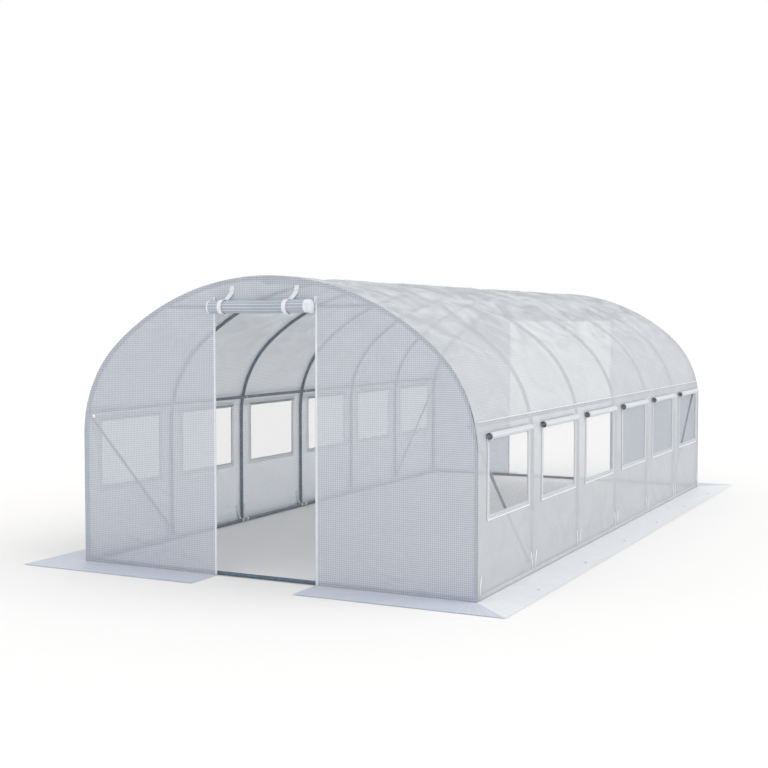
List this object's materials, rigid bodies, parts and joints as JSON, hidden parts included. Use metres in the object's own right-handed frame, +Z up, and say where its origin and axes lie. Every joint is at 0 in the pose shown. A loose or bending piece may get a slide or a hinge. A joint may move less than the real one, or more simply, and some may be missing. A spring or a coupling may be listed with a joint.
{
  "type": "polytunnel greenhouse",
  "caption": "Walk-in polytunnel greenhouse: round-arched steel tube frame under a reinforced translucent film cover, open doorways at both ends, roll-up side windows, ground skirt.",
  "frame": {"origin": "on the ground under the middle of the tunnel", "axes": "+X to the right seen from the front, +Y along the tunnel from the front doorway to the back one, +Z up"},
  "size_m": [3.6, 6.6, 2],
  "materials": {
    "steel_tube": "galvanised, dull grey",
    "cover_film": "translucent woven film, white with a faint blue tint and a fine white grid",
    "rolled_film": "the same film in a roll",
    "white_ribbon": "matt white woven tape",
    "window_net": "fine see-through net"
  },
  "bodies": {
    "root": {"hoop_1": "steel_tube", "hoop_2": "steel_tube", "hoop_3": "steel_tube", "hoop_4": "steel_tube", "hoop_5": "steel_tube", "hoop_6": "steel_tube", "hoop_7": "steel_tube", "ridge_rail": "steel_tube", "side_rail_left": "steel_tube", "side_rail_right": "steel_tube", "base_rail_left": "steel_tube", "base_rail_right": "steel_tube", "base_rail_front": "steel_tube", "base_rail_back": "steel_tube", "head_rail_front": "steel_tube", "head_rail_back": "steel_tube", "braces_left": "steel_tube", "braces_right": "steel_tube", "side_wall_left": "cover_film", "side_wall_right": "cover_film", "roof_left": "cover_film", "roof_crown": "cover_film", "roof_right": "cover_film", "front_wall_left": "cover_film", "front_wall_right": "cover_film", "front_wall_top": "cover_film", "back_wall_left": "cover_film", "back_wall_right": "cover_film", "back_wall_top": "cover_film", "skirt_left": "cover_film", "skirt_right": "cover_film", "skirt_front": "cover_film", "skirt_back": "cover_film", "window_rolls_left": "rolled_film", "window_rolls_right": "rolled_film", "front_door_roll": "rolled_film", "back_door_roll": "rolled_film", "window_borders_left": "white_ribbon", "window_borders_right": "white_ribbon", "front_door_straps": "white_ribbon", "back_door_straps": "white_ribbon", "front_door_tapes": "white_ribbon", "back_door_tapes": "white_ribbon", "base_ties_left": "white_ribbon", "base_ties_right": "white_ribbon", "window_screens_left": "window_net", "window_screens_right": "window_net"}
  },
  "joints": []
}
